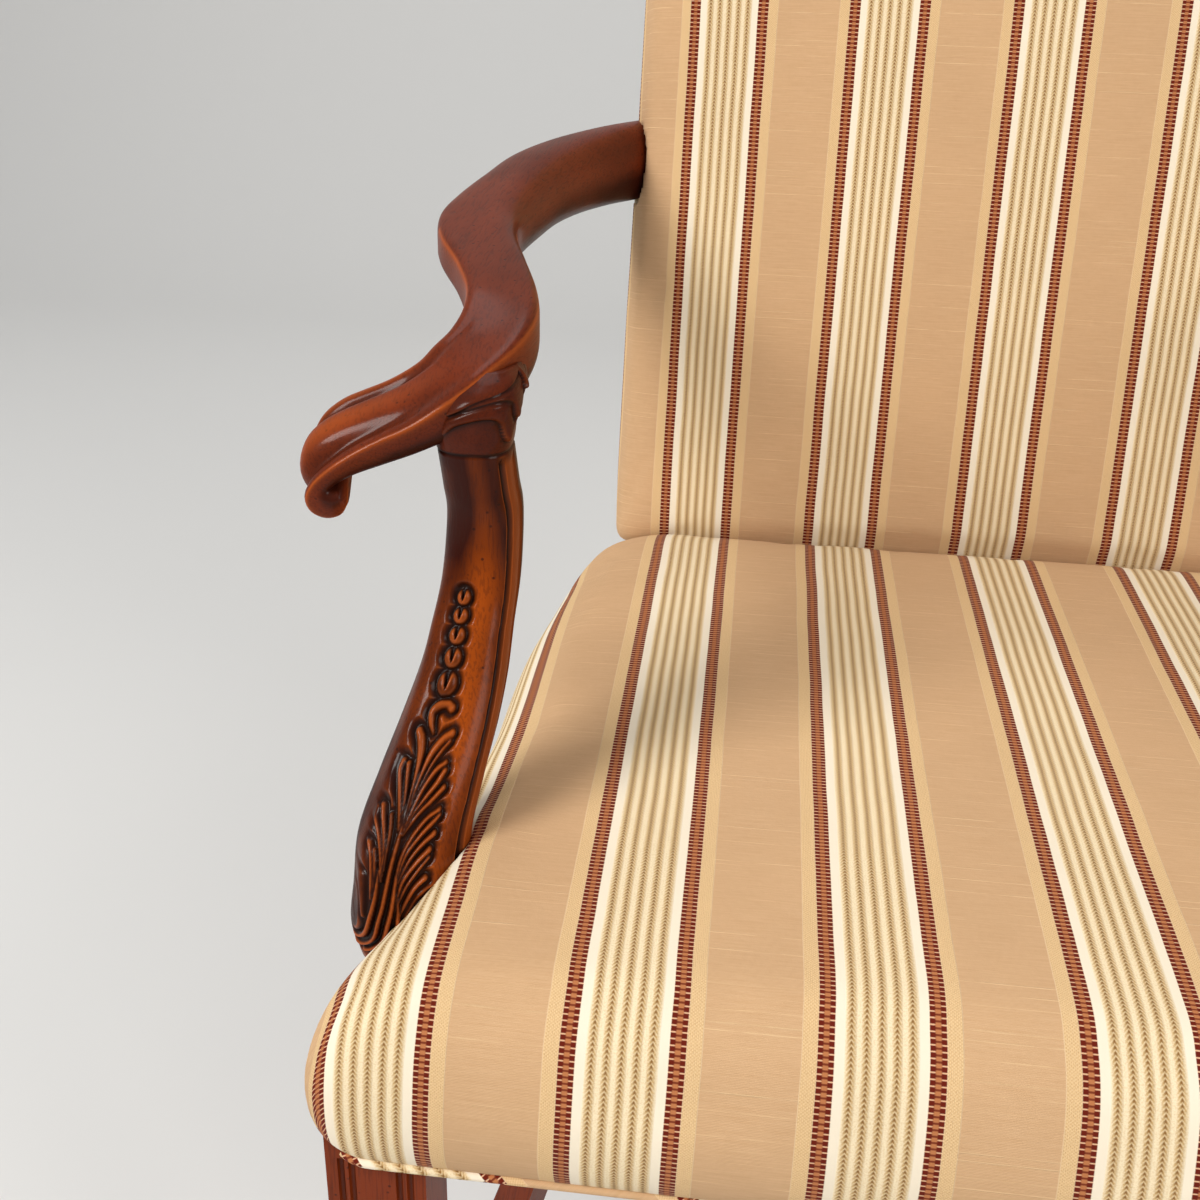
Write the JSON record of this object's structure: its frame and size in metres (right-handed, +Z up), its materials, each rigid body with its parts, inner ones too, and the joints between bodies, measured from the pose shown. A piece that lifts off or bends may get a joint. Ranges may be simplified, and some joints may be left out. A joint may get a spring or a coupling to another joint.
{
  "type": "wooden armchair",
  "caption": "Open armchair with carved wooden arms, moulded square legs, a stretcher base, and a striped upholstered seat and high back.",
  "frame": {"origin": "on the floor, under the middle of the chair's overall width and depth", "axes": "+Z up from the floor, -Y the way the sitter faces, +X to the right as seen when facing the chair"},
  "size_m": [0.7276, 0.6776, 1.026],
  "materials": {
    "show_wood": "aged, carved mahogany with a semi-gloss lacquer",
    "frame_wood": "sawn hardwood",
    "striped_fabric": "woven cotton with ladder stripes",
    "padding": "upholstery foam",
    "webbing": "jute webbing",
    "deck_cloth": "plain woven burlap",
    "dust_cloth": "black cambric",
    "steel": "plain steel"
  },
  "bodies": {
    "root": {"front_leg_left": "show_wood", "front_leg_right": "show_wood", "rear_post_left": "show_wood", "rear_post_right": "show_wood", "front_rail": "frame_wood", "rear_rail": "frame_wood", "side_rail_left": "frame_wood", "side_rail_right": "frame_wood", "corner_block_front_left": "frame_wood", "corner_block_front_right": "frame_wood", "corner_block_rear_left": "frame_wood", "corner_block_rear_right": "frame_wood", "corner_block_screws": "steel", "side_stretcher_left": "show_wood", "side_stretcher_right": "show_wood", "cross_stretcher": "show_wood", "crest_rail": "frame_wood", "lower_back_rail": "frame_wood", "arm_left": "show_wood", "arm_right": "show_wood", "arm_support_left": "show_wood", "arm_support_right": "show_wood", "arm_dowels": "frame_wood", "arm_support_screws": "steel", "arm_screws": "steel", "seat_webbing_lengthwise": "webbing", "seat_webbing_crosswise": "webbing", "seat_deck_cloth": "deck_cloth", "seat_foam": "padding", "seat_cover": "striped_fabric", "seat_welt": "striped_fabric", "dust_cover": "dust_cloth", "back_webbing": "webbing", "back_foam": "padding", "back_cover": "striped_fabric", "outside_back_panel": "striped_fabric", "back_welt": "striped_fabric", "glides": "steel"}
  },
  "joints": []
}
